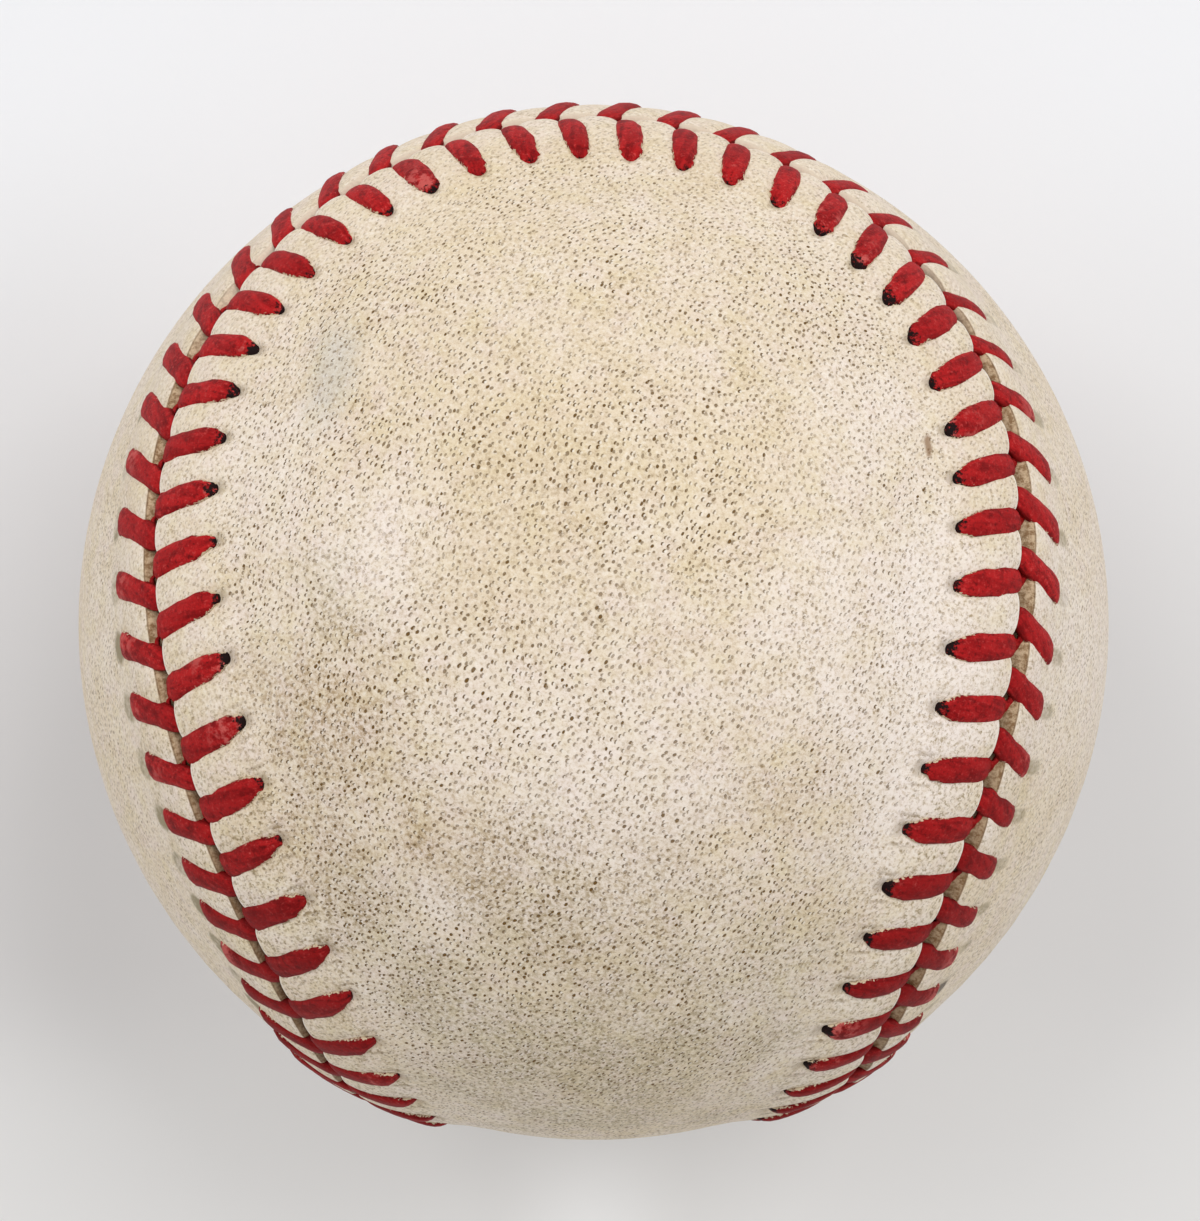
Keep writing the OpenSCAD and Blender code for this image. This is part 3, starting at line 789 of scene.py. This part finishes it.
def cowhide():
    f = Finish("cowhide")
    hide = Hide(f)
    pale = blots(f, hide, PALE_FIELDS, 2.6)
    bent = bent_lay(f, hide)
    pore, painted_lip_highlight = pores(f, hide, bent, pale)
    fibres = f.noise(hide.where, 2.6, 4, 0.75)
    # The pores, and the painted highlight at each one's edge
    color = f.coats(skin_color(f, hide, pale), (pore, (108, 77, 28)), (painted_lip_highlight, (240, 234, 224)))
    color = cut_edge(f, hide, small_marks(f, hide, seam_dirt_and_shade(f, hide, color)), fibres)
    wrinkle = f.noise(bent, 2.2, 3, 0.6, dims="2D")
    height = wrinkle * 0.5 + hide.grain * 0.35 + hide.cut * fibres * 1.2 - pore
    return f.paint(color, hide.blot * 0.16 + 0.46, f.bump(height, 0.08, 0.8), Specular_IOR_Level=0.25)


def waxed_thread():
    """Dark red thread with laid fibres, worn backs, notched edges, painted shade along its sides and low on
    the ball, and dirt and painted shade of the hole at its tips.
    """
    f = Finish("waxed_thread")
    where = f.place()
    right, up, _ = f.parts(where)
    along, round_share, number = f.parts(f.attribute("strand", "Vector"))
    own, wear, upright = f.parts(f.attribute("tone", "Vector"))
    fibres = f.noise(f.point(along * 2.6, round_share * 11.0 + along * 3.0, number * 3.7), 1.0, 3, 0.6)
    patches = f.noise(where, 1.1, 4, 0.7)
    frayed = f.noise(where, 3.4, 4, 0.75)
    edge = (round_share - 0.25).math("ABSOLUTE").math("MINIMUM", (round_share - 0.75).math("ABSOLUTE"))
    worn = along.step(0.6, 0.15) * (wear + (patches - 0.5) * 2.0).step(0.85, 1.15)
    # Dirt and painted shade of the hole at the tip, least at the top of the ball and at its lower left
    less = up.step(20.0, 30.0) * 0.05 + up.step(0.0, -14.0) * right.step(0.0, -10.0) * 0.06
    tip_dirt_and_shade = ((along + less + (frayed - 0.5) * 0.3 - wear * 0.05 + 0.02).step(0.085, 0.05)
           * (upright * 0.95 + 0.05))
    # Frayed edges, where the leather shows between the outer fibres
    bulge = (round_share * (2 * math.pi)).math("SINE").math("ABSOLUTE")
    notch = ((bulge + (frayed - 0.5) * 1.1 + along.step(0.25, 0.0) * 0.08).step(0.98, 1.01)
             * along.step(0.76, 0.64))
    color = f.coats(
        f.mix(fibres.step(0.38, 0.62), srgb(134, 8, 12), srgb(188, 30, 32)),
        (patches.step(0.42, 0.6) * 0.6, (172, 22, 24)),
        (patches.step(0.47, 0.36) * 0.55, (104, 4, 6)),
        (frayed.step(0.55, 0.68) * 0.6, (212, 78, 74)),
        (frayed.step(0.46, 0.35) * 0.7, (84, 2, 4)),
        (own * 0.3, (132, 12, 16)),
        # Painted shade: darker low on the ball
        (up.step(0.0, -24.0) * 0.5, (92, 8, 8)),
        # Painted shade along both sides of each stitch
        (edge.step(0.1, 0.02) * 0.55, (84, 4, 6)),
        (worn * 0.6, (214, 108, 102)),
        (tip_dirt_and_shade, (24, 8, 8)),
        (notch, (206, 188, 160)))
    return f.paint(color, 0.6, f.bump(fibres * 0.35 + frayed * 0.6, 0.1, 0.8), Specular_IOR_Level=0.1)


def moulded_rubber(name, base, dark, rough):
    f = Finish(name)
    grain = f.noise(f.place(), 0.6, 4, 0.6)
    return f.paint(f.mix(grain.step(0.35, 0.65), dark, base), rough, f.bump(grain, 0.03, 0.6))


def cork_finish():
    """Granules of cork in a dark rubber binder."""
    f = Finish("cork")
    where = f.place()
    granules = {"Vector": where, "Scale": 0.8}
    own = f.node("ShaderNodeSeparateColor", None,
                 f.node("ShaderNodeTexVoronoi", None, out="Color", **granules))
    binder = f.node("ShaderNodeTexVoronoi", {"feature": "DISTANCE_TO_EDGE"}, **granules).step(0.1, 0.03)
    specks = f.noise(where, 3.0, 4, 0.7)
    color = f.coats(
        f.mix(own, srgb(198, 152, 102), srgb(140, 96, 60)),
        (specks.step(0.5, 0.66) * 0.5, (92, 58, 36)),
        (binder * 0.8, (58, 42, 34)))
    return f.paint(color, 0.85, f.bump(specks * 0.5 - binder, 0.15, 0.7))


def wound_yarn(name, base, dark, width):
    """Patches of side-by-side turns that cross each other's way, with painted shade in the grooves between
    the turns.
    """
    f = Finish(name)
    where = f.place()
    wander = f.noise(where, 0.12, 2, 0.5)
    patches = f.node("ShaderNodeTexVoronoi", None, out="Color", Vector=where, Scale=0.07)
    way = f.vector("NORMALIZE", f.vector("SUBTRACT", patches, (0.5, 0.5, 0.5)))
    fuzz = f.noise(where, 4.0, 4, 0.7)
    run = f.vector("DOT_PRODUCT", where, way) * (2 * math.pi / width)
    turns = (run + wander * 9.0 + fuzz * 0.8).math("SINE") * 0.5 + 0.5
    # Painted shade: darker in the grooves between the turns, with random darker fuzz
    color = f.mix(fuzz.step(0.5, 0.68) * 0.35, f.mix(turns.step(0.05, 0.6), dark, base), dark)
    return f.paint(color, 0.95, f.bump(turns + fuzz * 0.4, 0.25, 0.8))


def floor_paper():
    """Pale paper with painted soft shadows left and right of the ball, painted light in the paler gap between
    them, and painted light that makes it a little brighter towards the top.
    """
    f = Finish("white_paper")
    where = f.place()
    right, up, _ = f.parts(where)
    nearby = f.near(where, (0.0, 0.0, -BALL_R)).step(100.0, 68.0)
    # Painted shadows of the ball, to its left and right
    shadow = (right.step(-20.0, -50.0) * 0.5 + right.step(20.0, 50.0) * 0.24) * up.step(50.0, 10.0)
    # Painted light: the paler strip between the two painted shadows
    gap = (right + 1.5).math("ABSOLUTE").step(10.0, 0.0) * up.step(-43.0, -56.0)
    color = f.coats(
        # Painted light: a little brighter towards the top
        f.mix(up.step(-60.0, 60.0), srgb(234, 233, 232), srgb(239, 240, 243)),
        (shadow * up.step(-47.0, -30.0) * nearby, (206, 203, 203)),
        (gap * nearby * 0.75, (252, 252, 252)))
    return f.paint(color, 0.9, None)


def finish_piece(piece, material, slot_name, *nodes):
    piece.data.materials.append(material)
    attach(piece, "root")
    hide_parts(*nodes)


leather = cowhide()
thread = waxed_thread()
finish_piece(leather_piece("leather_upright", UPRIGHT), leather, "cowhide", "leather_panel_upright")
finish_piece(leather_piece("leather_level", LEVEL), leather, "cowhide", "leather_panel_level")
finish_piece(strand_piece("thread_a", 0), thread, "waxed_thread", "lacing_strand_a")
finish_piece(strand_piece("thread_b", 1), thread, "waxed_thread", "lacing_strand_b")

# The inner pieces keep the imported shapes
cork = cork_finish()
black_rubber = moulded_rubber("black_rubber", srgb(44, 44, 46), srgb(28, 28, 30), 0.55)
red_rubber = moulded_rubber("red_rubber", srgb(160, 44, 38), srgb(128, 30, 28), 0.5)
grey_wool = wound_yarn("grey_wool", srgb(150, 152, 158), srgb(88, 90, 96), 1.3)
white_wool = wound_yarn("white_wool", srgb(240, 236, 226), srgb(186, 178, 162), 1.1)
cotton_yarn = wound_yarn("cotton_yarn", srgb(236, 230, 214), srgb(180, 166, 138), 0.6)
INNER_FINISHES = {
    "cork_core": cork,
    "black_rubber_shell_upper": black_rubber,
    "black_rubber_shell_lower": black_rubber,
    "rubber_washer": red_rubber,
    "red_rubber_cover_left": red_rubber,
    "red_rubber_cover_right": red_rubber,
    "grey_wool_four_ply": grey_wool,
    "white_wool_three_ply": white_wool,
    "grey_wool_three_ply": grey_wool,
    "cotton_finishing_yarn": cotton_yarn,
}
for name, material in INNER_FINISHES.items():
    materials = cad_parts[name].data.materials
    materials.clear()
    materials.append(material)

# Table, light and camera
TABLE_SIZE, TABLE_GAP = 3, 0.02
LAMP_SIZE = 0.5
ROOM_LIGHT = 0.58
PHOTO_W, PHOTO_H = 1200, 1221
BALL_AT = (593.7, 624.7)
FOCAL_PIXELS = 2383.0
CAMERA_REACH = 4.733 * BALL_R
SENSOR = 36

deselect_all()
bpy.ops.mesh.primitive_plane_add(size=TABLE_SIZE, location=(0, 0, -(BALL_R + TABLE_GAP) * MM))
table = bpy.context.object
table.name = "table"
table.data.materials.append(floor_paper())


def add_to_scene(name, data):
    thing = bpy.data.objects.new(name, data)
    bpy.context.scene.collection.objects.link(thing)
    return thing


def add_area_light(name, place, energy):
    """A soft lamp that faces the ball."""
    lamp = bpy.data.lights.new(name, "AREA")
    lamp.energy, lamp.size = energy, LAMP_SIZE
    light = add_to_scene(name, lamp)
    light.location = place
    light.rotation_euler = (-Vector(place)).to_track_quat("-Z", "Y").to_euler()


add_area_light("key_right", (0.45, 0.45, 0.85), 3.9)
add_area_light("key_left", (-0.5, 0.45, 0.85), 3.0)
world = bpy.data.worlds.new("soft_room")
bpy.context.scene.world = world
world.use_nodes = True
room = world.node_tree.nodes["Background"].inputs
room["Color"].default_value = (1, 1, 1, 1)
room["Strength"].default_value = ROOM_LIGHT

back = Vector((0.0135, 0.0412, 0.9991)).normalized()
up = back.cross(Vector((0.9998, -0.0152, -0.0129)).normalized()).normalized()
right = up.cross(back).normalized()
camera_data = bpy.data.cameras.new("camera")
camera = add_to_scene("camera", camera_data)
camera.matrix_world = (Matrix.Translation(back * CAMERA_REACH * MM)
                       @ Matrix((right, up, back)).transposed().to_4x4())
camera_data.sensor_fit = "VERTICAL"
camera_data.sensor_height = SENSOR
camera_data.lens = FOCAL_PIXELS / PHOTO_H * SENSOR
camera_data.shift_x = (PHOTO_W / 2 - BALL_AT[0]) / PHOTO_H
camera_data.shift_y = (BALL_AT[1] - PHOTO_H / 2) / PHOTO_H
camera_data.clip_start = 0.01
bpy.context.scene.camera = camera
bpy.context.scene.view_settings.view_transform = "Standard"
